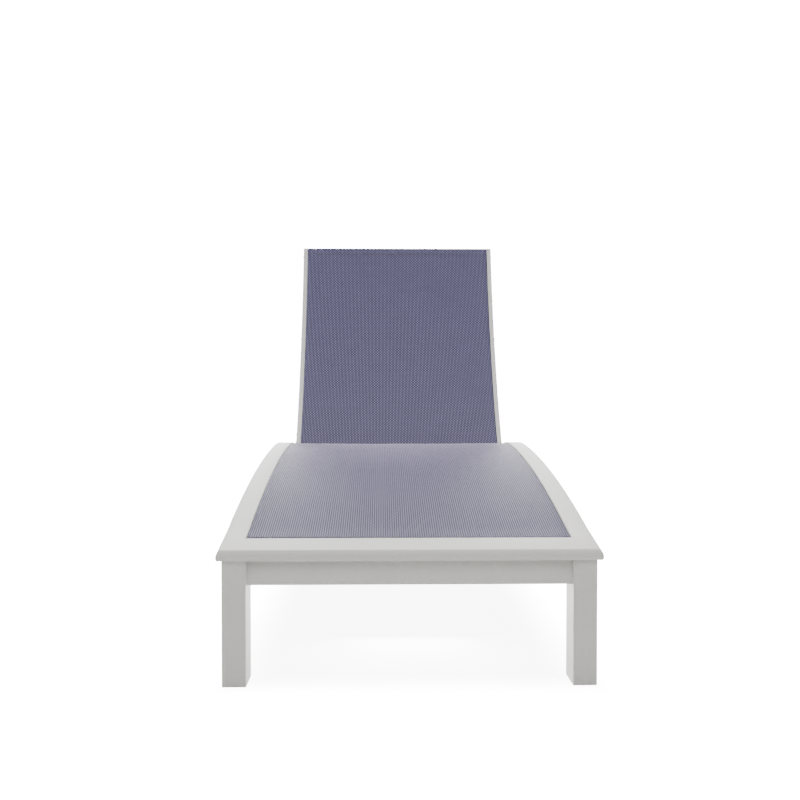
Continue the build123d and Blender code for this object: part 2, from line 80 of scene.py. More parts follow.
STRETCHERS = with_parts(["stretcher"], ("foot", "middle", "hinge", "head"))
BACK_TUBES = with_parts(["back_spreader"], ("foot", "middle", "top"))
BOARDS_ACROSS = ("foot_cap", "head_cap", "foot_apron", "head_apron", *STRETCHERS)
BOARDS_ALONG = with_parts(["side_cap", "side_beam", "rack"])
BOARDS_UPRIGHT = with_parts(["leg_foot", "leg_head"])
RAILS = (*with_parts(["seat_rail", "back_rail", "back_knuckle", "prop_arm", "prop_bracket"]),
         *with_parts(["seat_spreader"], ("foot", "middle", "head")), *BACK_TUBES, "prop_bar")
STEELS = ("seat_brackets", "hinge_bolts", "hinge_washers", "hinge_nuts", "prop_pins")
DARK_PLASTICS = ("seat_beads", "back_beads", "back_hinge_bushes", "prop_rollers")
GREY_PLASTICS = ("seat_rail_caps", "back_rail_caps")
RUBBERS = ("glides",)

# The boards' top outline from the foot to the head: Y, Z and heading in degrees at its start,
# then (length, radius, heading at its end) of each piece. An arc's length follows from the rest.
FRAME_START = (-0.963695, 0.256, 9.9)
FRAME_TOP = ((0.110, 0, 9.9), (None, 0.786, 12.5), (None, 4.440, 1.8), (None, 0.900, -6.75),
             (0.198, 0, -6.75), (None, 1.683, 12.25), (0.0746, 0, 12.25))
OUTLINE_STEP = 0.004
FINE_STEP = 0.001

CAP_DEPTH = 0.070
CAP_THICKNESS = 0.020
# The cap boards' outer edge: the slopes in degrees between which a broad arc runs, the radii of
# the small rounds above and below it, and the steps of the three
NOSE_SLOPES = (50, -20)
NOSE_ROUNDS = (0.0015, 0.0010)
NOSE_STEPS = (3, 10, 4)
# The side caps' inner corners: rounded above through a middle point, and bevelled below
ARRIS = 0.0008
ARRIS_BEND = 0.3 * ARRIS

# The raised back's front: its foot's distances from the hinge along its heading and square to it,
# that heading in degrees, and its curve
BACK_REACH = 0.0122
BACK_RISE = 0.0392
BACK_ANGLE = 51.4
BACK_RADIUS = 1.683
BACK_LENGTH = 0.703

# How often the boards' grain changes along X, Y and Z
GRAIN_ACROSS = (2.2, 150, 150)
GRAIN_ALONG = (150, 2.2, 150)
GRAIN_UPRIGHT = (150, 150, 2.2)

# The weave: a rib's share of its spacing, the yarns across one dash, and the share of a dash in
# which the light yarn lies on top
RIB_SHARE = 0.58
CROSSINGS = 4
SEAT_FLOAT = 0.70
BACK_FLOAT = 0.66

# The fabrics' edges and folds, and the rows and columns of their grids
SEAT_EDGE_INSET = 0.0009
SEAT_SLOT_INSET = 0.0007
SEAT_EDGE_ROUND = 0.0003
SEAT_EDGE_DEPTH = 0.0001
BACK_EDGE_INSET = 0.0005
BACK_EDGE_ROUND = 0.0014
BACK_HEM_INSET = 0.004
BACK_CLEARANCE = 0.0001
FOLD_RADIUS = 0.0016
FOLD_STEPS = 8
SHEET_COLUMNS = 61
SEAT_ROWS = 206
BACK_ROWS = 366
TAB_COLUMNS = 4

# Shares of a grid's half width that lie flat and at the tabs' foot, and of a sheet's length where
# its sag starts and is full
FLAT_SHARE = 0.70
TAB_SHARE = 0.5
SAG_START_SHARE = 0.15
SAG_FULL_SHARE = 0.70
# A sheet whose slots are shallower than this has no tabs in them
LEAST_SLOT_DEPTH = 0.0001

# Threads: (position, radius) of a thread's rings at a length and radius of 1, then their lengths,
# with radii as shares of these
THREAD_RINGS = ((-0.5, 0.3), (-0.44, 0.8), (-0.30, 1), (0.30, 1), (0.44, 0.8), (0.5, 0.3))
THREAD_SIDES = 6
YARN_END_LENGTH = 0.0044
YARN_END_RADIUS = 0.28
YARN_END_INSET = 0.0005
YARN_END_LIFT = 0.0006
STITCH_LENGTH = 0.0040
STITCH_RADIUS = 0.18
STITCH_ROW_INSET = 0.005
STITCH_END_INSET = 0.008

# Heads of unit radius: (radius, height, whether a hexagon) of their rings, from the seat over the
# dome and down into the socket
SCREW_RINGS = ((1.0, 0, False), (1.0, 0.10, False), (0.96, 0.22, False), (0.84, 0.36, False),
               (0.66, 0.44, False), (0.48, 0.47, True), (0.44, 0.44, True), (0.44, 0.14, True))
RIVET_RINGS = ((1.0, 0, False), (0.98, 0.12, False), (0.88, 0.28, False), (0.68, 0.42, False),
               (0.40, 0.50, False), (0.30, 0.51, False), (0.26, 0.42, False))
HEAD_SIDES = 24

# The fasteners: distances from the middle of a stretcher or seat bracket, and shares of a rack's
# length or a prop bracket's run
STRETCHER_SCREWS = (-0.012, 0.012)
BRACKET_SCREWS = (-0.011, 0.011)
BRACKET_THICKNESS = 0.003
BRACKET_DROP = 0.002
BRACKET_LENGTH = 0.05
BRACKET_SPACE = 0.02
RACK_SCREWS = (0.10, 0.40, 0.68, 0.92)
RACK_SCREW_LIFT = 0.0065
BOLT_FACTOR = 1.15
RIVET_SHARES = (0.16, 0.84)
RIVET_RADIUS = 0.0042
ALONG_X, ALONG_Y, ALONG_Z = (1, 0, 0), (0, 1, 0), (0, 0, 1)

# The studio: the background's brightness to the camera, the even light from all round, the
# floor's tone, and the share of its brightness that is left in a soft shadow painted under the
# lounge
GLOW = 20.0
AMBIENT = 0.12
FLOOR_TONE = 0.55
FLOOR_PAINTED_SHADOW = 0.40
FLOOR_REACH = 60
PAINTED_SHADOW_EDGE = 0.10
BLACK, WHITE = (0, 0, 0, 1), (1, 1, 1, 1)
# Square lamps: name, place, the point each one faces, side and power in watts
LAMPS = (
    ("overhead", (0, 0.5, 3.4), (0, 0.2, 0.2), 3.4, 205),
    ("over_front", (0, -3.6, 2.3), (0, -0.2, 0.2), 1.7, 68),
    ("left_low", (-3.2, -0.4, 0.55), (0, -0.5, 0.2), 1.6, 190),
    ("right_low", (3.2, -0.4, 0.55), (0, -0.5, 0.2), 1.6, 170),
    ("left_fill", (-3.2, -1.4, 0.75), (0, -0.6, 0.25), 2.2, 10),
    ("right_fill", (3.2, -1.4, 0.75), (0, -0.6, 0.25), 2.2, 10),
    ("between_legs", (0, -0.60, 0.16), (0, -1.0, 0.15), 0.24, 5.8),
    ("rear", (0, 4.2, 2.0), (0, 0, 0.4), 3.0, 340),
)
# The camera: its place, how far it looks down and to the side in degrees, and its lens in mm
CAMERA_PLACE = (-0.05305, -2.72125, 0.57273)
CAMERA_DIP = 1.365
CAMERA_TURN = -1.11
CAMERA_LENS = 43.58
CAMERA_SENSOR = 36

# Settings that the sizes share, and that the colours share
LENGTH = {"unit": "LENGTH", "precision": 4}
COLOUR = {"subtype": "COLOR", "size": 3, "min": 0, "max": 1}


class LoungeSizes(bpy.types.PropertyGroup):
    """Sizes that a user would change."""

    rib: FloatProperty(
        name="Rib spacing", description="Distance between the fabric's lengthwise ribs",
        default=0.0044, min=0.001, max=0.02, **LENGTH)
    dash: FloatProperty(
        name="Dash spacing", description="Length of one repeat of the weave along a rib",
        default=0.0088, min=0.002, max=0.04, **LENGTH)
    fabric: FloatProperty(
        name="Fabric thickness", description="Thickness of the woven fabric",
        default=0.0011, min=0.0003, max=0.003, **LENGTH)
    seat_recess: FloatProperty(
        name="Seat recess", description="Depth of the seat fabric below the side caps",
        default=0.003, min=0, max=0.02, **LENGTH)
    tab: FloatProperty(
        name="Tab depth", description="How far the fabric turns down into the rail's slot",
        default=0.0030, min=0.001, max=0.01, **LENGTH)
    front_gap: FloatProperty(
        name="Front gap", description="How far the seat fabric stops short of its rails' ends",
        default=0.001, min=0, max=0.05, **LENGTH)
    sag: FloatProperty(
        name="Sag", description="How far the seat fabric sags between its rails at the crest",
        default=0.002, min=0, max=0.02, **LENGTH)
    hem: FloatProperty(
        name="Hem width", description="Width of the turned hem at the top of the back",
        default=0.024, min=0.005, max=0.06, **LENGTH)
    screw: FloatProperty(
        name="Frame screw", description="Radius of the frame screws' heads",
        default=0.0052, min=0.002, max=0.01, **LENGTH)
    small_screw: FloatProperty(
        name="Small screw", description="Radius of the rack and bracket screws' heads",
        default=0.0040, min=0.002, max=0.01, **LENGTH)
    stitch: FloatProperty(
        name="Stitch spacing", description="Distance between stitches along the hem",
        default=0.0052, min=0.002, max=0.02, **LENGTH)
    seed: IntProperty(
        name="Seed", description="Seed for the turn of the screws, bolts and rivets",
        default=7, min=0)


class LoungeColours(bpy.types.PropertyGroup):
    """Colours that a user would change."""

    board: FloatVectorProperty(
        name="Boards", description="Warm light grey of the boards",
        default=(0.600, 0.592, 0.565), **COLOUR)
    rail: FloatVectorProperty(
        name="Rails", description="Light grey coating of the rails",
        default=(0.435, 0.431, 0.416), **COLOUR)
    yarn: FloatVectorProperty(
        name="Light yarn", description="Lavender grey of the lengthwise yarn",
        default=(0.116, 0.104, 0.199), **COLOUR)
    weft: FloatVectorProperty(
        name="Dark yarn", description="Deep blue of the crossing yarn",
        default=(0.021, 0.020, 0.050), **COLOUR)
    gap: FloatVectorProperty(
        name="Weave gaps", description="Shade between the yarns",
        default=(0.004, 0.004, 0.012), **COLOUR)
    steel: FloatVectorProperty(
        name="Steel", description="Colour of the bolts and screws",
        default=(0.56, 0.56, 0.55), **COLOUR)
    dark: FloatVectorProperty(
        name="Dark plastic", description="Colour of the beads, bushes, rollers and glides",
        default=(0.022, 0.022, 0.026), **COLOUR)
    grey: FloatVectorProperty(
        name="Grey plastic", description="Colour of the rails' end caps",
        default=(0.50, 0.49, 0.47), **COLOUR)


def grey(level):
    """A plain grey with its alpha."""
    return (level, level, level, 1)


def shade(colour, factor):
    """A colour made darker or lighter, with its alpha."""
    return (*[min(1, part * factor) for part in colour], 1)


def sum_of(operation, reflected=False):
    """A method that adds one Math node for a wire and any other value, in either order."""
    def method(self, *others):
        values = (*others, self) if reflected else (self, *others)
        return self.maker.math(operation, *values)
    return method


class Wire:
    """A socket that takes part in Python sums; each operator adds a Math node."""

    def __init__(self, maker, socket):
        self.maker = maker
        self.socket = socket

    __add__ = sum_of("ADD")
    __radd__ = sum_of("ADD", reflected=True)
    __sub__ = sum_of("SUBTRACT")
    __rsub__ = sum_of("SUBTRACT", reflected=True)
    __mul__ = sum_of("MULTIPLY")
    __rmul__ = sum_of("MULTIPLY", reflected=True)
    __truediv__ = sum_of("DIVIDE")
    __mod__ = sum_of("FLOORED_MODULO")
    __lt__ = sum_of("LESS_THAN")
    __gt__ = sum_of("GREATER_THAN")
    __abs__ = sum_of("ABSOLUTE")
    floor = sum_of("FLOOR")
    fract = sum_of("FRACT")
    sine = sum_of("SINE")
    cosine = sum_of("COSINE")
    sign = sum_of("SIGN")
    at_least = sum_of("MAXIMUM")
    at_most = sum_of("MINIMUM")


class Maker:
    """Adds nodes to one tree."""

    def __init__(self, tree):
        self.tree = tree

    def node(self, kind, settings=None, sockets=None):
        """Adds a node, sets it up first, and then fills or links its sockets."""
        made = self.tree.nodes.new(kind)
        for key, value in (settings or {}).items():
            if key == "stops":
                for element, (position, level) in zip(made.color_ramp.elements, value):
                    element.position = position
                    element.color = grey(level)
            else:
                setattr(made, key, value)
        for key, value in (sockets or {}).items():
            if isinstance(value, Wire):
                self.tree.links.new(value.socket, made.inputs[key])
            else:
                made.inputs[key].default_value = value
        return made

    def result(self, kind, settings=None, sockets=None, output=0):
        """One output of a new node."""
        return Wire(self, self.node(kind, settings, sockets).outputs[output])

    def math(self, operation, *values):
        """The result of a Math node."""
        return self.result("ShaderNodeMath", {"operation": operation}, dict(enumerate(values)))

    def vector(self, operation, *values):
        """The result of a Vector Math node."""
        return self.result("ShaderNodeVectorMath", {"operation": operation},
                           dict(enumerate(values)))

    def xyz(self, x, y, z):
        """A vector from three values."""
        return self.result("ShaderNodeCombineXYZ", None, {0: x, 1: y, 2: z})

    def parts(self, wire):
        """The three values of a vector."""
        made = self.node("ShaderNodeSeparateXYZ", None, {0: wire})
        return [Wire(self, part) for part in made.outputs]

    def mix(self, factor, first, second, blend="MIX"):
        """A mix of two colours."""
        return self.result("ShaderNodeMix", {"data_type": "RGBA", "blend_type": blend},
                           {0: factor, 6: first, 7: second}, 2)


class Finish(Maker):
    """A material whose pattern is worked out by nodes."""

    def __init__(self, name):
        self.material = bpy.data.materials.new(name)
        self.material.use_nodes = True
        super().__init__(self.material.node_tree)
        self.tree.nodes.clear()

    def place(self, stretch=(1, 1, 1)):
        """Object coordinates, with a scale of their own along X, Y and Z."""
        here = self.result("ShaderNodeTexCoord", output="Object")
        return self.result("ShaderNodeMapping", {"vector_type": "POINT"},
                           {"Vector": here, "Scale": stretch})

    def noise(self, scale=1, stretch=(1, 1, 1), detail=3, roughness=0.55):
        """A noise value between about 0 and 1."""
        return self.result("ShaderNodeTexNoise", None, {
            "Vector": self.place(stretch), "Scale": scale, "Detail": detail,
            "Roughness": roughness}, "Fac")

    def ramp(self, wire, *stops):
        """A value led through stops of (position, level)."""
        levels = self.result("ShaderNodeValToRGB", {"stops": stops}, {"Fac": wire})
        return self.result("ShaderNodeRGBToBW", None, {0: levels})

    def bump(self, height, distance, strength):
        """A normal that stands for a height of up to a distance in metres."""
        return self.result("ShaderNodeBump", None,
                           {"Height": height, "Distance": distance, "Strength": strength})

    def surface(self, **sockets):
        """The surface shader. A name's underscores stand for the spaces of the socket's name."""
        fed = {key.replace("_", " "): value for key, value in sockets.items()}
        shader = self.result("ShaderNodeBsdfPrincipled", None, fed)
        self.node("ShaderNodeOutputMaterial", None, {"Surface": shader})
        return self.material


def board_finish(name, colour, stretch):
    """A satin polymer board with a faint grain along its length and a slow drift of tone."""
    made = Finish(name)
    grain = made.noise(stretch=stretch, detail=6, roughness=0.62)
    closer = tuple(4 * part for part in stretch)
    fine = made.noise(stretch=closer, detail=2, roughness=0.5)
    drift = made.noise(scale=3.2, detail=2)
    tone = (0.45 * grain + 0.20 * fine + 0.35 * drift).at_least(0).at_most(1)
    tinted = made.mix(tone, shade(colour, 0.955), shade(colour, 1.045))
    speckle = made.noise(scale=46, detail=5, roughness=0.7)
    scuff = made.ramp(speckle, (0.60, 0), (0.78, 1))
    return made.surface(
        Base_Color=made.mix(0.25 * scuff, tinted, shade(colour, 0.93)),
        Roughness=0.46 + 0.10 * grain + 0.05 * scuff,
        Specular_IOR_Level=0.42,
        Normal=made.bump(0.7 * grain + 0.3 * fine, distance=0.00022, strength=0.55),
    )


def coated_finish(name, colour):
    """Powder coating: a fine orange peel over light metal."""
    made = Finish(name)
    peel = made.noise(scale=900, detail=2)
    drift = made.noise(scale=9)
    return made.surface(
        Base_Color=made.mix(drift, shade(colour, 0.95), shade(colour, 1.04)),
        Roughness=0.36 + 0.12 * drift,
        Specular_IOR_Level=0.5,
        Normal=made.bump(peel, distance=0.00008, strength=0.6),
    )


def steel_finish(name, colour):
    """Brushed steel with fine scratches and a slight dulling."""
    made = Finish(name)
    brushed = made.noise(stretch=(900, 60, 900))
    dull = made.noise(scale=55)
    return made.surface(
        Base_Color=made.mix(dull, shade(colour, 0.82), shade(colour, 1.08)),
        Metallic=1.0,
        Roughness=0.24 + 0.16 * brushed + 0.10 * dull,
        Normal=made.bump(brushed, distance=0.00004, strength=0.5),
    )


def moulded_finish(name, colour, rough, texture):
    """Moulded plastic or rubber with a fine spark texture and a little dust in its tone."""
    made = Finish(name)
    spark = made.noise(scale=texture, roughness=0.7)
    dust = made.noise(scale=38, detail=4, roughness=0.65)
    return made.surface(
        Base_Color=made.mix(dust, shade(colour, 0.85), shade(colour, 1.20)),
        Roughness=rough + 0.14 * spark,
        Normal=made.bump(spark, distance=0.0001, strength=0.6),
    )


def woven_finish(name, colours, rib, dash, float_share):
    """Coated mesh: light ribs run along the sling, and dark yarns cross them in staggered steps;
    shade is painted where the yarns dip and between them.
    """
    made = Finish(name)
    across, along = made.parts(made.result("ShaderNodeUVMap", {"uv_map": "Weave"}))[:2]
    column = across / rib
    row = along / dash
    step = column.floor() % 2
    over = column.fract()
    phase = (row + 0.5 * step).fract()
    on_rib = over < RIB_SHARE
    on_top = phase < float_share
    round_rib = (over * (pi / RIB_SHARE)).sine().at_least(0) * on_rib
    dome = (phase * (pi / float_share)).sine().at_least(0) * on_top
    crossing = ((row * CROSSINGS).fract() * pi).sine()
    height = round_rib * (0.40 + 0.60 * dome) + (1 - round_rib) * crossing * 0.35
    drift = made.noise(scale=14)
    streak = made.noise(stretch=(420, 3, 420), detail=2)
    # Painted shade and highlight: the light yarn is darker where each float dips under and lighter
    # at its crown
    light = made.mix(0.30 + 0.70 * dome, shade(colours.yarn, 0.48), shade(colours.yarn, 1.36))
    rib_top = made.mix(on_top, shade(colours.weft, 1.7), light)
    # Partly painted shade: between the ribs the dark crossing yarn is a darker copy of the one on
    # top of the ribs, and near-black painted shade fills the gaps between its crossings
    between = made.mix(crossing, shade(colours.gap, 1), shade(colours.weft, 1.1))
    # Painted shade: each rib's rounded flanks fade into the darker colour between the ribs
    cloth = made.mix((round_rib * 1.8).at_most(1), between, rib_top)
    worn = made.mix(0.5 * drift + 0.5 * streak, (0.86, 0.86, 0.87, 1), WHITE)
    return made.surface(
        Base_Color=made.mix(1.0, cloth, worn, blend="MULTIPLY"),
        Roughness=0.66 - 0.16 * round_rib,
        Specular_IOR_Level=0.35,
        Sheen_Weight=0.45,
        Sheen_Roughness=0.18,
        Sheen_Tint=(0.90, 0.80, 1.0, 1),
        Normal=made.bump(height, distance=0.0007, strength=0.55),
    )


def thread_finish(name, colour):
    """Twisted thread with a fine change of tone."""
    made = Finish(name)
    twist = made.noise(stretch=(1500, 500, 1500), detail=2)
    return made.surface(
        Base_Color=made.mix(twist, shade(colour, 0.75), shade(colour, 1.25)),
        Roughness=0.55 + 0.15 * twist,
        Normal=made.bump(twist, distance=0.0001, strength=0.6),
    )


def give(material, nodes):
    """Puts a finish on carried-over CAD nodes."""
    for name in nodes:
        for slot in frame["nodes"][name].material_slots:
            slot.material = material


def walk(y, z, angle, length, radius=0):
    """The point and heading after a straight run, or after an arc that turns up or down."""
    if not radius:
        return y + length * cos(angle), z + length * sin(angle), angle
    turned = angle + length / radius
    return (y + radius * (sin(turned) - sin(angle)), z - radius * (cos(turned) - cos(angle)),
            turned)


def lifted(y, z, heading, lift):
    """A point moved square to its heading."""
    return y - lift * sin(heading), z + lift * cos(heading)


def frame_pieces():
    """Length and signed radius of each piece of the boards' top outline, 0 where it is straight."""
    angle = radians(FRAME_START[2])
    pieces = []
    for length, radius, goal in FRAME_TOP:
        change = radians(goal) - angle
        if length:
            pieces.append((length, 0))
        else:
            pieces.append((radius * abs(change), copysign(radius, change)))
        angle += change
    return pieces


FRAME_PIECES = frame_pieces()
FRAME_LENGTH = sum(length for length, radius in FRAME_PIECES)


def frame_station(run):
    """The point and heading on the boards' top outline at a run from the foot."""
    y, z, angle = FRAME_START[0], FRAME_START[1], radians(FRAME_START[2])
    for length, radius in FRAME_PIECES:
        y, z, angle = walk(y, z, angle, min(run, length), radius)
        run -= min(run, length)
    return y, z, angle


def frame_stations(first, last, step):
    """Even stations on the outline between two runs, at most a step apart."""
    count = ceil((last - first) / step)
    return [frame_station(first + (last - first) * index / count) for index in range(count + 1)]


def seat_line(sizes):
    """The part of the boards' outline that the middle of the seat fabric follows."""
    low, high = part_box("seat_sling")
    lift = -sizes.seat_recess - sizes.fabric / 2
    line = [lifted(*station, lift) for station in frame_stations(0, FRAME_LENGTH, FINE_STEP)]
    kept = [spot for spot in line if low[1] + sizes.front_gap <= spot[0] <= high[1]]
    return kept[::round(OUTLINE_STEP / FINE_STEP)]


def back_line(lift):
    """Points up the raised back's front surface, lifted square to it, to where the fold starts."""
    hinge = next(joint for joint in frame["joints"] if joint["name"] == "back_hinge")["pos_m"]
    angle = radians(BACK_ANGLE)
    y, z = lifted(*walk(hinge[1], hinge[2], angle, BACK_REACH), BACK_RISE)
    count, length = ceil(BACK_LENGTH / OUTLINE_STEP), BACK_LENGTH - FOLD_RADIUS
    return [lifted(*walk(y, z, angle, length * index / count, BACK_RADIUS), lift)
            for index in range(count + 1)]


def hemmed(line, radius, hem):
    """Adds a fold over the top and the hem's run back down behind the fabric."""
    (y0, z0), (y1, z1) = line[-2:]
    angle = atan2(z1 - z0, y1 - y0)
    centre_y, centre_z = lifted(y1, z1, angle, -radius)
    fold = []
    for index in range(1, FOLD_STEPS + 1):
        turn = angle + pi / 2 - pi * index / FOLD_STEPS
        fold.append((centre_y + radius * cos(turn), centre_z + radius * sin(turn)))
    behind, travelled = [], 0
    for (ya, za), (yb, zb) in zip(line[::-1], line[-2::-1]):
        travelled += hypot(yb - ya, zb - za)
        behind.append(lifted(yb, zb, atan2(za - zb, ya - yb), -2 * radius))
        if travelled >= hem:
            break
    return line + fold + behind


def line_length(line):
    """Length of a run of points."""
    return sum(hypot(b[0] - a[0], b[1] - a[1]) for a, b in zip(line, line[1:]))


def linked(name, data):
    """A new object in the scene's collection."""
    made = bpy.data.objects.new(name, data)
    bpy.context.scene.collection.objects.link(made)
    return made


def mesh_object(name, verts, edges=(), faces=()):
    """An object from plain lists of points, edges and faces."""
    mesh = bpy.data.meshes.new(name)
    mesh.from_pydata([tuple(vert) for vert in verts], list(edges), list(faces))
    return linked(name, mesh)


def line_object(name, line):
    """A run of edges in the middle plane."""
    verts = [(0, y, z) for y, z in line]
    return mesh_object(name, verts, [(index, index + 1) for index in range(len(verts) - 1)])


def geometry_tree(name, inputs):
    """An empty Geometry Nodes tree with named inputs: its maker, and a wire from each input."""
    tree = bpy.data.node_groups.new(name, "GeometryNodeTree")
    tree.interface.new_socket(name="Geometry", in_out="OUTPUT", socket_type="NodeSocketGeometry")
    for label, kind in {"Geometry": "Geometry", **inputs}.items():
        tree.interface.new_socket(name=label, in_out="INPUT", socket_type="NodeSocket" + kind)
    made = Maker(tree)
    source = made.node("NodeGroupInput")
    return made, {socket.name: Wire(made, socket) for socket in source.outputs if socket.name}


def finish_tree(made, geometry, finish):
    """Ends a tree with its instances made real and its finish set."""
    solid = made.result("GeometryNodeRealizeInstances", None, {"Geometry": geometry})
    coloured = made.result("GeometryNodeSetMaterial", None,
                           {"Geometry": solid, "Material": finish})
    made.node("NodeGroupOutput", None, {"Geometry": coloured})


def finished_mesh(made, name):
    """The result of an object's modifiers as a plain mesh in a new object at the origin."""
    bpy.context.view_layer.update()
    evaluated = made.evaluated_get(bpy.context.evaluated_depsgraph_get())
    result = bpy.data.meshes.new_from_object(evaluated)
    bpy.data.objects.remove(made, do_unlink=True)
    result.name = name
    return linked(name, result)


def run_tree(host, tree, values, name):
    """Runs a Geometry Nodes tree on a host object and returns the plain result."""
    modifier = host.modifiers.new(tree.name, "NODES")
    modifier.node_group = tree
    for socket in tree.interface.items_tree:
        if socket.name in values:
            modifier[socket.identifier] = values[socket.name]
    return finished_mesh(host, name)


def smooth(piece, angle):
    """Shades a piece smooth, apart from edges sharper than an angle in degrees."""
    for polygon in piece.data.polygons:
        polygon.use_smooth = True
    piece.data.set_sharp_from_angle(angle=radians(angle))


SHEET_INPUTS = {
    "Half width": "Float", "Tab depth": "Float", "Tab round": "Float", "Slot": "Float",
    "Slot depth": "Float", "Sag": "Float", "Hem start": "Float", "Hem half width": "Float",
    "Columns": "Int", "Rows": "Int", "Finish": "Material",
}


def lay(made, curve, grid, across, drop, run):
    """Bends a grid along a curve: each point goes to its run, across it and down from it."""
    stored = made.result(
        "GeometryNodeStoreNamedAttribute", {"data_type": "FLOAT2", "domain": "CORNER"},
        {"Geometry": grid, "Name": "Weave", "Value": made.xyz(across, run, 0)})
    sample = made.node("GeometryNodeSampleCurve", {"mode": "LENGTH"},
                       {"Curves": curve, "Length": run})
    spot, tangent = (Wire(made, sample.outputs[name]) for name in ("Position", "Tangent"))
    up = made.vector("CROSS_PRODUCT", ALONG_X, tangent)
    lowered = made.result("ShaderNodeVectorMath", {"operation": "SCALE"},
                          {0: up, "Scale": -1 * drop})
    side = made.vector("ADD", spot, made.xyz(across, 0, 0))
    return made.result("GeometryNodeSetPosition", None, {
        "Geometry": stored, "Position": made.vector("ADD", side, lowered)})


def sheet_grid(made, columns, rows, length):
    """A flat grid, 2 wide and as long as the curve, round the origin."""
    return made.result("GeometryNodeMeshGrid", None, {
        "Size X": 2.0, "Size Y": length, "Vertices X": columns, "Vertices Y": rows})


def cut_faces(made, geometry, selection):
    """Takes out the faces of a selection."""
    return made.result("GeometryNodeDeleteGeometry", {"domain": "FACE"},
                       {"Geometry": geometry, "Selection": selection})


def sheet_tree():
    """A sheet laid along a line, with edges that turn down, or with tabs into the rails' slots."""
    made, given = geometry_tree("Stretched sheet", SHEET_INPUTS)
    curve = made.result("GeometryNodeMeshToCurve", None, {"Mesh": given["Geometry"]})
    length = made.result("GeometryNodeCurveLength", None, {0: curve})
    share, along = made.parts(made.result("GeometryNodeInputPosition"))[:2]
    run = along + 0.5 * length
    flat_half = given["Half width"] - given["Tab round"]
    turned = given["Tab round"] * (pi / 2)
    depth = given["Tab depth"] + turned
    beyond = (abs(share) - FLAT_SHARE).at_least(0) * (1 / (1 - FLAT_SHARE)) * depth
    level = abs(share).at_most(FLAT_SHARE) * (1 / FLAT_SHARE)
    bend = (beyond / given["Tab round"]).at_most(pi / 2)
    climb = (run / length - SAG_START_SHARE) * (1 / (SAG_FULL_SHARE - SAG_START_SHARE))
    rise = climb.at_least(0).at_most(1)
    sagged = given["Sag"] * rise * rise * (3 - 2 * rise) * (1 - level * level)
    drop = given["Tab round"] * (1 - bend.cosine()) + (beyond - turned).at_least(0) + sagged
    across = share.sign() * (level * flat_half + given["Tab round"] * bend.sine())
    grid = sheet_grid(made, given["Columns"], given["Rows"], length)
    sheet = lay(made, curve, grid, across, drop, run)
    past_hem = (run > given["Hem start"]) * (abs(across) > given["Hem half width"])
    sheet = cut_faces(made, sheet, past_hem)
    inside = abs(share) < TAB_SHARE
    strips = sheet_grid(made, TAB_COLUMNS, given["Rows"], length)
    strips = cut_faces(made, strips, inside + (given["Slot depth"] < LEAST_SLOT_DEPTH))
    strips = lay(made, curve, strips, share.sign() * given["Slot"],
                 inside * given["Slot depth"], run)
    both = made.node("GeometryNodeJoinGeometry")
    for piece in (sheet, strips):
        made.tree.links.new(piece.socket, both.inputs[0])
    finish_tree(made, Wire(made, both.outputs[0]), given["Finish"])
    return made.tree


def thickened(piece, thickness, name):
    """A sheet's plain mesh with its thickness, half to each side."""
    modifier = piece.modifiers.new("Thickness", "SOLIDIFY")
    modifier.thickness = thickness
    modifier.offset = 0
    return finished_mesh(piece, name)


COPY_INPUTS = {"Copy": "Object", "Spin": "Float", "Seed": "Int", "Finish": "Material"}
# What each point holds beside its place: name, type and the field of its values
POINT_VALUES = (("facing", "FLOAT_VECTOR", "vector"), ("along", "FLOAT_VECTOR", "vector"),
                ("size", "FLOAT", "value"))


def copies_tree():
    """Sets a copy of one object on each point, its Z along the point's facing, at its size."""
    made, given = geometry_tree("Copies on points", COPY_INPUTS)
    copy = made.result("GeometryNodeObjectInfo", {"transform_space": "ORIGINAL"},
                       {"Object": given["Copy"]}, "Geometry")
    facing, along, size = [
        made.result("GeometryNodeInputNamedAttribute", {"data_type": kind}, {"Name": label},
                    "Attribute") for label, kind, field in POINT_VALUES]
    upright = made.result("FunctionNodeAlignRotationToVector", {"axis": "Z"}, {"Vector": facing})
    laid = made.result("FunctionNodeAlignRotationToVector", {"axis": "X", "pivot_axis": "Z"},
                       {"Rotation": upright, "Vector": along})
    spin = made.result("FunctionNodeRandomValue", {"data_type": "FLOAT"},
                       {"Seed": given["Seed"]}, "Value")
    turn = made.result("FunctionNodeAxisAngleToRotation", None,
                       {"Axis": ALONG_Z, "Angle": spin * given["Spin"]})
    turned = made.result("FunctionNodeRotateRotation", {"rotation_space": "LOCAL"},
                         {"Rotation": laid, "Rotate By": turn})
    set_out = made.result("GeometryNodeInstanceOnPoints", None, {
        "Points": given["Geometry"], "Instance": copy, "Rotation": turned, "Scale": size})
    finish_tree(made, set_out, given["Finish"])
    return made.tree


def points_object(name, places):
    """Points with a facing, a direction and a size each."""
    made = mesh_object(name, [place[0] for place in places])
    for column, (label, kind, field) in enumerate(POINT_VALUES, start=1):
        stored = made.data.attributes.new(label, kind, "POINT")
        for spot, place in zip(stored.data, places):
            setattr(spot, field, place[column])
    return made


def rings_object(name, rings):
    """An object whose closed skin joins rings of points, with its faces turned outward."""
    bm = bmesh.new()
    rings = [[bm.verts.new(spot) for spot in ring] for ring in rings]
    bm.faces.new(rings[0][::-1])
    for lower, upper in zip(rings, rings[1:]):
        for index in range(len(lower)):
            after = (index + 1) % len(lower)
            bm.faces.new((lower[index], lower[after], upper[after], upper[index]))
    bm.faces.new(rings[-1])
    bmesh.ops.recalc_face_normals(bm, faces=bm.faces)
    mesh = bpy.data.meshes.new(name)
    bm.to_mesh(mesh)
    bm.free()
    return linked(name, mesh)


def turns(count):
    """Even angles round a circle."""
    return [2 * pi * index / count for index in range(count)]


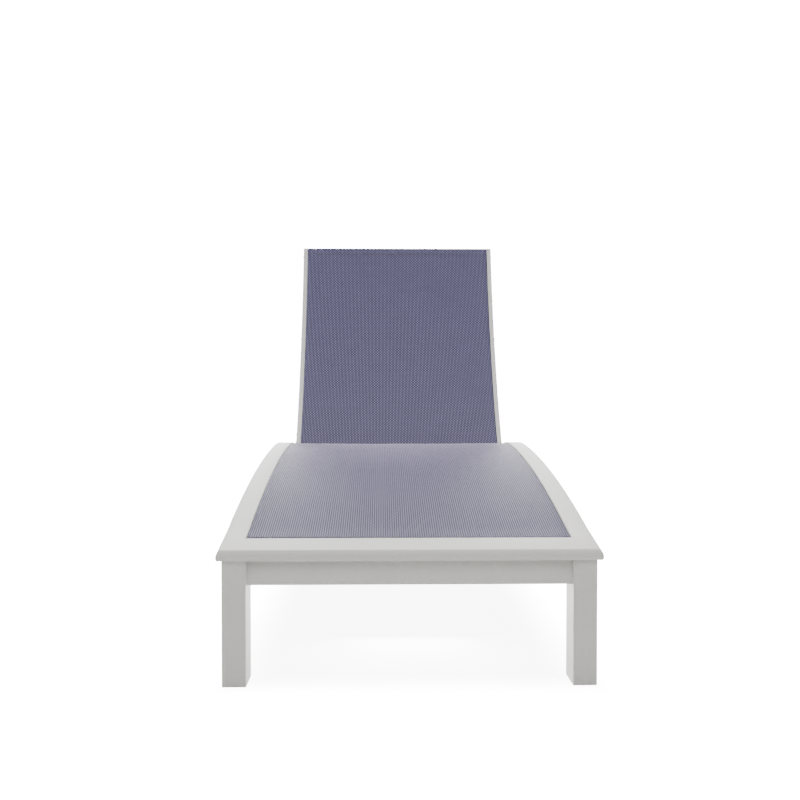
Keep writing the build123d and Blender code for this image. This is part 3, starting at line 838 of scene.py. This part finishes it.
def head_object(name, outline):
    """A screw or rivet head of unit radius."""
    rings = []
    for radius, z, hexagon in outline:
        ring = []
        for angle in turns(HEAD_SIDES):
            reach = radius / cos((angle + pi / 6) % (pi / 3) - pi / 6) if hexagon else radius
            ring.append((reach * cos(angle), reach * sin(angle), z))
        rings.append(ring)
    return rings_object(name, rings)


def thread_object(name, radius):
    """A short thread of unit length along X, rounded at both ends."""
    return rings_object(name, [
        [(x, radius * share * cos(angle), radius * share * sin(angle))
         for angle in turns(THREAD_SIDES)] for x, share in THREAD_RINGS])


def set_copies(name, template, places, finish, spin, body):
    """One plain mesh with a copy of the template at each place, riding on a body."""
    values = {"Copy": template, "Spin": spin, "Seed": bpy.context.scene.lounge_sizes.seed,
              "Finish": finish}
    piece = run_tree(points_object(name + "_points", places), copies_tree(), values, name)
    bpy.data.objects.remove(template, do_unlink=True)
    smooth(piece, 35)
    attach(piece, body)


def middle(node):
    """Y and Z of a node's middle."""
    low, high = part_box(node)
    return [(a + b) / 2 for a, b in zip(low, high)][1:]


def inner_x(node):
    """X of a right-hand node's side that faces the middle."""
    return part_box(node)[0][0]


def outer_x(node):
    """X of a node's side that faces right, away from the middle."""
    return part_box(node)[1][0]


def spread(half, spacing):
    """X of places spread evenly between -half and half, about a spacing apart."""
    count = int(2 * half / spacing)
    return [-half + (index + 0.5) * 2 * half / count for index in range(count)]


def on_both_sides(spots, x, outward, along, size):
    """Places at (y, z) spots, left and then right, that face outward (1) or inward (-1)."""
    return [((side * x, y, z), (side * outward, 0, 0), along, size)
            for side in (-1, 1) for y, z in spots]


class BoardFinish(bpy.types.Operator):
    """Gives the boards, legs and racks their satin grained finish, with the grain along each."""

    bl_idname = "lounge.board_finish"
    bl_label = "Board finish"

    def execute(self, context):
        colour = context.scene.lounge_colours.board
        give(board_finish("board_across", colour, GRAIN_ACROSS), BOARDS_ACROSS)
        give(board_finish("board_along", colour, GRAIN_ALONG), BOARDS_ALONG)
        give(board_finish("board_upright", colour, GRAIN_UPRIGHT), BOARDS_UPRIGHT)
        return {"FINISHED"}


class MetalFinish(bpy.types.Operator):
    """Gives the rails and the prop their coating, and the bolts and brackets brushed steel."""

    bl_idname = "lounge.metal_finish"
    bl_label = "Metal finish"

    def execute(self, context):
        colours = context.scene.lounge_colours
        give(coated_finish("coated_rail", colours.rail), RAILS)
        give(steel_finish("brushed_steel", colours.steel), STEELS)
        return {"FINISHED"}


class MouldedFinish(bpy.types.Operator):
    """Gives the beads, bushes, rollers, end caps and glides their moulded finishes."""

    bl_idname = "lounge.moulded_finish"
    bl_label = "Moulded finish"

    def execute(self, context):
        colours = context.scene.lounge_colours
        give(moulded_finish("dark_plastic", colours.dark, rough=0.42, texture=700), DARK_PLASTICS)
        give(moulded_finish("grey_plastic", colours.grey, rough=0.45, texture=700), GREY_PLASTICS)
        give(moulded_finish("glide_rubber", colours.dark, rough=0.62, texture=420), RUBBERS)
        return {"FINISHED"}


def cap_edge():
    """Inset and lift of points round a cap board's outer edge, from its top to its underside."""
    top, foot = (radians(slope) for slope in NOSE_SLOPES)
    above, below = NOSE_ROUNDS
    height = CAP_THICKNESS - above * (1 - sin(top)) - below * (1 + sin(foot))
    broad = height / (sin(top) - sin(foot))
    arcs = ((pi / 2, top, above), (top, foot, broad), (foot, -pi / 2, below))
    spots = [(0.0, 0.0)]
    for (first, last, radius), steps in zip(arcs, NOSE_STEPS):
        for index in range(steps):
            before, after = (first + (last - first) * k / steps for k in (index, index + 1))
            out, lift = spots[-1]
            spots.append((out + radius * (cos(after) - cos(before)),
                          lift + radius * (sin(after) - sin(before))))
    reach = max(out for out, lift in spots)
    return [(reach - out, lift) for out, lift in spots]


def end_cap(name, run, inward):
    """A cap board across one end: nosed along its front and both ends, square behind."""
    station = frame_station(run)
    rings = []
    for inset, lift in cap_edge():
        corners = []
        for side, depth in ((-1, inset), (1, inset), (1, CAP_DEPTH), (-1, CAP_DEPTH)):
            spot = lifted(*walk(*station, inward * depth), lift)
            corners.append((side * (HALF_WIDTH - inset), *spot))
        rings.append(corners)
    return rings_object(name, rings)


def side_cap(name, side):
    """A cap board along one side, following the waved outline."""
    inner = inner_x("side_cap_right")
    profile = [(HALF_WIDTH - inset, lift) for inset, lift in cap_edge()]
    profile += [(inner + ARRIS, -CAP_THICKNESS), (inner, ARRIS - CAP_THICKNESS), (inner, -ARRIS),
                (inner + ARRIS_BEND, -ARRIS_BEND), (inner + ARRIS, 0)]
    stations = frame_stations(CAP_DEPTH, FRAME_LENGTH - CAP_DEPTH, OUTLINE_STEP)
    return rings_object(name, [[(side * x, *lifted(*station, lift)) for x, lift in profile]
                               for station in stations])


class CapBoards(bpy.types.Operator):
    """Makes the four cap boards with their broad rounded outer edges."""

    bl_idname = "lounge.cap_boards"
    bl_label = "Cap boards"

    def execute(self, context):
        colour = context.scene.lounge_colours.board
        across = board_finish("cap_across", colour, GRAIN_ACROSS)
        along = board_finish("cap_along", colour, GRAIN_ALONG)
        for piece, node, finish in (
            (end_cap("foot_cap_board", 0, 1), "foot_cap", across),
            (end_cap("head_cap_board", FRAME_LENGTH, -1), "head_cap", across),
            (side_cap("side_cap_board_left", -1), "side_cap_left", along),
            (side_cap("side_cap_board_right", 1), "side_cap_right", along),
        ):
            piece.data.materials.append(finish)
            smooth(piece, 30)
            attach(piece, "frame")
            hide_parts(node)
        return {"FINISHED"}


def laid_fabric(name, line, finish, thickness, **values):
    """A fabric sheet along a line, held at both edges and given its thickness."""
    labels = {key.replace("_", " ").capitalize(): value for key, value in values.items()}
    piece = run_tree(line_object(name + "_line", line), sheet_tree(),
                     {**labels, "Finish": finish}, name + "_flat")
    piece = thickened(piece, thickness, name)
    smooth(piece, 50)
    return piece


class SeatFabric(bpy.types.Operator):
    """Makes the seat fabric along the waved rails, with tabs into their slots."""

    bl_idname = "lounge.seat_fabric"
    bl_label = "Seat fabric"

    def execute(self, context):
        sizes, colours = context.scene.lounge_sizes, context.scene.lounge_colours
        line = seat_line(sizes)
        length = line_length(line)
        half = outer_x("seat_rail_right") - SEAT_EDGE_INSET
        weave = woven_finish("seat_weave", colours, sizes.rib, sizes.dash, SEAT_FLOAT)
        piece = laid_fabric(
            "seat_fabric", line, weave, sizes.fabric, half_width=half,
            tab_depth=SEAT_EDGE_DEPTH, tab_round=SEAT_EDGE_ROUND,
            slot=outer_x("seat_beads") - SEAT_SLOT_INSET, slot_depth=sizes.tab, sag=sizes.sag,
            hem_start=length + 1, hem_half_width=half, columns=SHEET_COLUMNS, rows=SEAT_ROWS)
        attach(piece, "frame")
        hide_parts("seat_sling")
        return {"FINISHED"}


class BackFabric(bpy.types.Operator):
    """Makes the back fabric up its curved rails, with a hem folded over at the top."""

    bl_idname = "lounge.back_fabric"
    bl_label = "Back fabric"

    def execute(self, context):
        sizes, colours = context.scene.lounge_sizes, context.scene.lounge_colours
        plain = back_line(-sizes.fabric / 2 - BACK_CLEARANCE)
        full = hemmed(plain, FOLD_RADIUS, sizes.hem)
        half = outer_x("back_beads") - BACK_EDGE_INSET
        inner = outer_x("back_spreader_top") - BACK_HEM_INSET
        weave = woven_finish("back_weave", colours, sizes.rib, sizes.dash, BACK_FLOAT)
        piece = laid_fabric(
            "back_fabric", full, weave, sizes.fabric, half_width=half, tab_depth=sizes.tab,
            tab_round=BACK_EDGE_ROUND, slot=half, slot_depth=0.0, sag=0.0,
            hem_start=line_length(plain) + FOLD_RADIUS, hem_half_width=inner,
            columns=SHEET_COLUMNS, rows=BACK_ROWS)
        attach(piece, "back")
        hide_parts("back_sling")
        return {"FINISHED"}


def yarn_ends(sizes):
    """Places of the cut yarn ends that stand across the seat fabric's front edge."""
    (y0, z0), (y1, z1) = seat_line(sizes)[:2]
    slope = Vector((0, y1 - y0, z1 - z0)).normalized()
    up = Vector((0, -slope.z, slope.y))
    first = Vector((0, y0, z0)) + YARN_END_LIFT * up
    half = outer_x("seat_rail_right") - YARN_END_INSET
    return [(first + Vector((x, 0, 0)), up, slope, YARN_END_LENGTH)
            for x in spread(half, sizes.rib)]


def stitch_row(lift, sizes):
    """Places of one row of stitches across the hem, at a lift from the back's front surface."""
    run = back_line(lift)
    travelled, index = 0, len(run) - 1
    while travelled < sizes.hem - STITCH_ROW_INSET:
        travelled += hypot(run[index][0] - run[index - 1][0], run[index][1] - run[index - 1][1])
        index -= 1
    (ya, za), (yb, zb) = run[index], run[index + 1]
    outward = Vector((0, -(zb - za), yb - ya)).normalized()
    half = outer_x("back_spreader_top") - STITCH_END_INSET
    return [(Vector((x, ya, za)), outward, Vector(ALONG_X), STITCH_LENGTH)
            for x in spread(half, sizes.stitch)]


class FabricThreads(bpy.types.Operator):
    """Sets the cut yarn ends along the seat's front edge and the stitches along the back's hem."""

    bl_idname = "lounge.fabric_threads"
    bl_label = "Fabric threads"

    def execute(self, context):
        sizes, colours = context.scene.lounge_sizes, context.scene.lounge_colours
        finish = thread_finish("navy_thread", [0.6 * part for part in colours.weft])
        set_copies("seat_yarn_ends", thread_object("yarn_end", YARN_END_RADIUS),
                   yarn_ends(sizes), finish, 0.0, "frame")
        stitches = stitch_row(BACK_CLEARANCE, sizes)
        stitches += stitch_row(-BACK_CLEARANCE - sizes.fabric - 2 * FOLD_RADIUS, sizes)
        set_copies("hem_stitches", thread_object("stitch", STITCH_RADIUS), stitches, finish, 0.0,
                   "back")
        return {"FINISHED"}


def bracket_middles():
    """Y and Z for each seat bracket's screws. A wide space parts its points from the next one's."""
    mesh = frame["nodes"]["seat_brackets"].data
    spots = sorted((vert.co.y, vert.co.z) for vert in mesh.vertices if vert.co.x > 0)
    groups = [[spots[0]]]
    for spot in spots[1:]:
        space, reach = spot[0] - groups[-1][-1][0], spot[0] - groups[-1][0][0]
        if space > BRACKET_SPACE and reach > BRACKET_LENGTH:
            groups.append([])
        groups[-1].append(spot)
    found = []
    for group in groups:
        ys, zs = zip(*group)
        found.append(((min(ys) + max(ys)) / 2, (min(zs) + max(zs)) / 2 - BRACKET_DROP))
    return found


def rack_middle(y):
    """Z for a rack's screw at a Y, above the line between the ends of the rack's lower edge."""
    spots = [vert.co for vert in frame["nodes"]["rack_right"].data.vertices]
    first = min(spots, key=lambda spot: spot.y)
    last = min(spots, key=lambda spot: spot.z)
    share = (y - first.y) / (last.y - first.y)
    return first.z + share * (last.z - first.z) + RACK_SCREW_LIFT


class FrameScrews(bpy.types.Operator):
    """Sets the screws of the stretchers, seat brackets and racks."""

    bl_idname = "lounge.frame_screws"
    bl_label = "Frame screws"

    def execute(self, context):
        sizes, colours = context.scene.lounge_sizes, context.scene.lounge_colours
        places = []
        for y, z in map(middle, STRETCHERS):
            places += on_both_sides([(y, z + lift) for lift in STRETCHER_SCREWS],
                                    outer_x("side_beam_right"), 1, ALONG_Y, sizes.screw)
        for y, z in bracket_middles():
            places += on_both_sides([(y + along, z) for along in BRACKET_SCREWS],
                                    inner_x("side_beam_right") - BRACKET_THICKNESS, -1, ALONG_Y,
                                    sizes.small_screw)
        low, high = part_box("rack_right")
        for share in RACK_SCREWS:
            y = low[1] + share * (high[1] - low[1])
            places += on_both_sides([(y, rack_middle(y))], low[0], -1, ALONG_Y,
                                    sizes.small_screw)
        set_copies("frame_screw_heads", head_object("screw_head", SCREW_RINGS), places,
                   steel_finish("screw_steel", colours.steel), 2 * pi, "frame")
        return {"FINISHED"}


class BackFasteners(bpy.types.Operator):
    """Sets the bolts of the back's cross tubes and the rivets of the prop brackets."""

    bl_idname = "lounge.back_fasteners"
    bl_label = "Back fasteners"

    def execute(self, context):
        sizes, colours = context.scene.lounge_sizes, context.scene.lounge_colours
        steel = steel_finish("fastener_steel", colours.steel)
        bolts = []
        for node in BACK_TUBES:
            bolts += on_both_sides([middle(node)], outer_x("back_rail_right"), 1, ALONG_Z,
                                   sizes.small_screw * BOLT_FACTOR)
        set_copies("back_bolt_heads", head_object("bolt_head", SCREW_RINGS), bolts, steel,
                   2 * pi, "back")
        spots = [vert.co for vert in frame["nodes"]["prop_bracket_right"].data.vertices]
        top = max(spots, key=lambda spot: spot.z)
        foot = min(spots, key=lambda spot: spot.z)
        rivets = []
        for share in RIVET_SHARES:
            spot = foot.lerp(top, share)
            rivets += on_both_sides([(spot.y, spot.z)], inner_x("prop_bracket_right"), -1,
                                    ALONG_Z, RIVET_RADIUS)
        set_copies("bracket_rivets", head_object("rivet_head", RIVET_RINGS), rivets, steel,
                   2 * pi, "back")
        return {"FINISHED"}


def studio_floor():
    """A wide pale floor that is seen bright, with a soft shadow painted on it under the lounge."""
    far = FLOOR_REACH
    floor = mesh_object("studio_floor", [(-far, -far, 0), (far, -far, 0), (far, far, 0),
                                         (-far, far, 0)], faces=[(0, 1, 2, 3)])
    made = Finish("pale_floor")
    seen = made.result("ShaderNodeLightPath", output="Is Camera Ray")
    x, y = made.parts(made.place())[:2]
    # Painted shadow: under the lounge's footprint the floor's glow drops to a share of itself, with
    # soft edges
    beyond = (abs(x) - HALF_WIDTH).at_least(abs(y) - HALF_LENGTH)
    painted_shadow_share = made.result(
        "ShaderNodeMapRange", {"interpolation_type": "SMOOTHSTEP"},
        {"Value": beyond, "From Min": -PAINTED_SHADOW_EDGE, "From Max": PAINTED_SHADOW_EDGE,
         "To Min": FLOOR_PAINTED_SHADOW, "To Max": 1.0})
    cloud = made.noise(scale=0.8, detail=2)
    floor.data.materials.append(made.surface(
        Base_Color=made.mix(cloud, grey(0.99 * FLOOR_TONE), grey(1.01 * FLOOR_TONE)),
        Roughness=0.85,
        Specular_IOR_Level=0.1,
        Emission_Strength=GLOW,
        Emission_Color=made.mix(seen * painted_shadow_share, BLACK, WHITE),
    ))
    return floor


def studio_world():
    """A white surround that is seen bright and lights the lounge a little from all round."""
    world = bpy.data.worlds.new("studio")
    world.use_nodes = True
    sky = Maker(world.node_tree)
    seen = sky.result("ShaderNodeLightPath", output="Is Camera Ray")
    background = world.node_tree.nodes["Background"]
    background.inputs["Strength"].default_value = GLOW
    sky.tree.links.new(sky.mix(seen, grey(AMBIENT / GLOW), WHITE).socket,
                       background.inputs["Color"])
    return world


def studio_camera():
    """A camera at the photograph's viewing angle."""
    lens = bpy.data.cameras.new("camera")
    lens.sensor_width = CAMERA_SENSOR
    lens.lens = CAMERA_LENS
    camera = linked("camera", lens)
    camera.location = CAMERA_PLACE
    camera.rotation_euler = (radians(90 - CAMERA_DIP), 0, radians(CAMERA_TURN))
    return camera


class Studio(bpy.types.Operator):
    """Sets the pale floor, the soft light and the camera."""

    bl_idname = "lounge.studio"
    bl_label = "Studio"

    def execute(self, context):
        floor = studio_floor()
        context.scene.world = studio_world()
        for name, place, aim, side, power in LAMPS:
            light = bpy.data.lights.new(name, "AREA")
            light.shape = "SQUARE"
            light.size = side
            light.energy = power
            lamp = linked(name, light)
            lamp.location = place
            facing = Vector(aim) - Vector(place)
            lamp.rotation_euler = facing.to_track_quat("-Z", "Y").to_euler()
        context.scene.camera = studio_camera()
        return {"FINISHED"}


class LoungePanel(bpy.types.Panel):
    """Lists the lounge's sizes, colours and making steps."""

    bl_idname = "LOUNGE_PT_making"
    bl_label = "Chaise lounge"
    bl_space_type = "VIEW_3D"
    bl_region_type = "UI"
    bl_category = "Lounge"

    def draw(self, context):
        for group in (context.scene.lounge_sizes, context.scene.lounge_colours):
            box = self.layout.box()
            for name in group.__annotations__:
                box.prop(group, name)
        for operator in OPERATORS:
            self.layout.operator(operator.bl_idname)


OPERATORS = (Studio, BoardFinish, CapBoards, MetalFinish, MouldedFinish, SeatFabric, BackFabric,
             FabricThreads, FrameScrews, BackFasteners)
CLASSES = (LoungeSizes, LoungeColours, *OPERATORS, LoungePanel)


def register():
    """Registers the classes and puts the sizes and colours on the scene."""
    for part in CLASSES:
        bpy.utils.register_class(part)
    bpy.types.Scene.lounge_sizes = PointerProperty(type=LoungeSizes)
    bpy.types.Scene.lounge_colours = PointerProperty(type=LoungeColours)


def unregister():
    """Takes the sizes and colours off the scene and the classes out."""
    del bpy.types.Scene.lounge_sizes
    del bpy.types.Scene.lounge_colours
    for part in reversed(CLASSES):
        bpy.utils.unregister_class(part)


def main():
    register()
    for operator in OPERATORS:
        category, name = operator.bl_idname.split(".")
        getattr(getattr(bpy.ops, category), name)()


if __name__ == "__main__":
    main()
